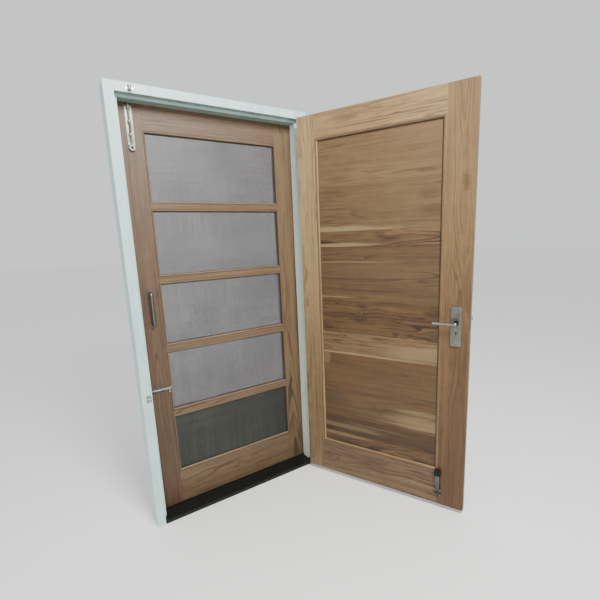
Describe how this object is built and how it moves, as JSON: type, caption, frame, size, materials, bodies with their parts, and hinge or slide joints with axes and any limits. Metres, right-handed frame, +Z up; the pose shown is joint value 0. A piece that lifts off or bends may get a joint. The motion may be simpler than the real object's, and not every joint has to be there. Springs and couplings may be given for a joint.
{
  "type": "twin door set with insect-screen door and panelled door",
  "caption": "Rebated timber door frame with a stone sill, an insect-screen door and a solid door with a panel of horizontal boards, both hung on one jamb.",
  "frame": {"origin": "middle of the doorway and of the frame's depth, on the underside of the sill", "axes": "+X across the doorway towards the hinge jamb, +Y from the room side to the far side, +Z up"},
  "size_m": [1.3715, 0.9852, 2.122],
  "materials": {
    "frame_paint": "painted timber, pale grey-green, satin",
    "sill_stone": "polished near-black granite",
    "door_timber": "oiled teak, straight grain",
    "panel_boards": "oiled teak, strong horizontal figure",
    "screen_timber": "oiled teak, redder and greyer than the main door",
    "insect_mesh": "fine woven grey insect mesh",
    "satin_steel": "brushed",
    "bright_steel": "fine satin",
    "holder_rubber": "matt black"
  },
  "bodies": {
    "frame": {"frame_head": "frame_paint", "frame_jamb_left": "frame_paint", "frame_jamb_right": "frame_paint", "threshold": "sill_stone", "main_hinge_frame_leaves": "bright_steel", "main_hinge_pins": "bright_steel", "screen_hinge_frame_leaves": "bright_steel", "screen_hinge_pins": "bright_steel", "frame_screws": "bright_steel", "strike_plate": "satin_steel", "bolt_keeps": "satin_steel"},
    "main_door": {"main_stile_hinge": "door_timber", "main_stile_lock": "door_timber", "main_rail_top": "door_timber", "main_rail_bottom": "door_timber", "main_board_1": "panel_boards", "main_board_2": "panel_boards", "main_board_3": "panel_boards", "main_board_4": "panel_boards", "main_board_5": "panel_boards", "main_board_6": "panel_boards", "main_board_7": "panel_boards", "main_board_8": "panel_boards", "main_board_9": "panel_boards", "main_board_10": "panel_boards", "main_board_11": "panel_boards", "main_beads": "door_timber", "main_hinge_door_leaves": "bright_steel", "main_screws": "bright_steel", "lock_case": "satin_steel", "lock_plate_outer": "satin_steel", "lock_plate_inner": "satin_steel", "main_tower_bolt_plate": "satin_steel", "main_side_bolt_plate": "satin_steel", "holder_base": "satin_steel", "holder_pin": "bright_steel"},
    "levers": {"lever_outer": "satin_steel", "lever_inner": "satin_steel", "lever_spindle": "satin_steel"},
    "latch": {"latch_bolt": "bright_steel"},
    "dead_bolt": {"dead_bolt": "bright_steel"},
    "main_tower_rod": {"main_tower_bolt_rod": "bright_steel"},
    "main_side_rod": {"main_side_bolt_rod": "bright_steel"},
    "holder": {"holder_arm": "satin_steel", "holder_shoe": "holder_rubber"},
    "screen_door": {"screen_stile_hinge": "screen_timber", "screen_stile_lock": "screen_timber", "screen_rail_top": "screen_timber", "screen_rail_bottom": "screen_timber", "screen_mid_rails": "screen_timber", "screen_mesh": "insect_mesh", "screen_beads": "screen_timber", "screen_hinge_door_leaves": "bright_steel", "screen_pull_handle": "bright_steel", "screen_screws": "bright_steel", "screen_tower_bolt_plate": "satin_steel", "screen_side_bolt_plate": "satin_steel"},
    "screen_tower_rod": {"screen_tower_bolt_rod": "bright_steel"},
    "screen_side_rod": {"screen_side_bolt_rod": "bright_steel"}
  },
  "joints": [
    {"name": "main_swing", "type": "hinge", "parent": "frame", "child": "main_door", "pos_m": [0.4585, -0.0692, 0], "axis": [0, 0, 1], "range_deg": [-116, 44]},
    {"name": "screen_swing", "type": "hinge", "parent": "frame", "child": "screen_door", "pos_m": [0.4585, 0.0692, 0], "axis": [0, 0, -1], "range_deg": [0, 108]},
    {"name": "lever_turn", "type": "hinge", "parent": "main_door", "child": "levers", "pos_m": [0.81045, -0.84715, 1.016], "axis": [-0.8988, -0.4384, 0], "range_deg": [0, 45], "stiffness_Nm_per_rad": 1.5, "springref_deg": -28.65},
    {"name": "latch_slide", "type": "slide", "parent": "main_door", "child": "latch", "axis": [-0.4384, 0.8988, 0], "range_m": [0, 0.0091]},
    {"name": "dead_bolt_slide", "type": "slide", "parent": "main_door", "child": "dead_bolt", "axis": [0.4384, -0.8988, 0], "range_m": [0, 0.02]},
    {"name": "main_tower_slide", "type": "slide", "parent": "main_door", "child": "main_tower_rod", "axis": [0, 0, 1], "range_m": [0, 0.026]},
    {"name": "main_side_slide", "type": "slide", "parent": "main_door", "child": "main_side_rod", "axis": [0.4384, -0.8988, 0], "range_m": [0, 0.022]},
    {"name": "holder_flip", "type": "hinge", "parent": "main_door", "child": "holder", "pos_m": [0.75544, -0.80166, 0.117], "axis": [0.4384, -0.8988, 0], "range_deg": [0, 180]},
    {"name": "screen_tower_slide", "type": "slide", "parent": "screen_door", "child": "screen_tower_rod", "axis": [0, 0, 1], "range_m": [0, 0.026]},
    {"name": "screen_side_slide", "type": "slide", "parent": "screen_door", "child": "screen_side_rod", "axis": [-1, 0, 0], "range_m": [0, 0.022]}
  ],
  "couplings": [
    {"joint": "latch_slide", "follows": "lever_turn", "m_per_rad": 0.01146}
  ]
}
